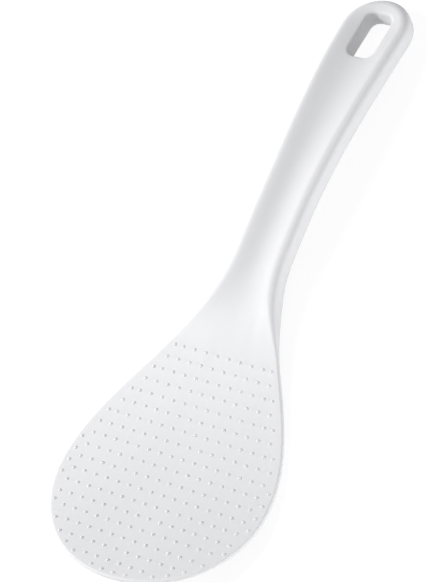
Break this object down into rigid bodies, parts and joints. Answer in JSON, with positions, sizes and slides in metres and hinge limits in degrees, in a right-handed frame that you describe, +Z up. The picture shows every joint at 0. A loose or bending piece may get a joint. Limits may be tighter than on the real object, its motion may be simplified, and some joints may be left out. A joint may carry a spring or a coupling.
{
  "type": "rice paddle",
  "caption": "White polypropylene rice paddle with a round curved blade covered in small nubs, an arched dished handle with raised rims, and a hanging slot at its end.",
  "frame": {"origin": "middle of the underside of the bounding box, on the table that the paddle lies on face up", "axes": "+Y from the tip of the blade to the end of the handle, +Z up out of the face of the blade, +X across the blade to the right"},
  "size_m": [0.0708, 0.1912, 0.012],
  "materials": {
    "white_plastic": "satin"
  },
  "bodies": {
    "root": {"paddle": "white_plastic"}
  },
  "joints": []
}
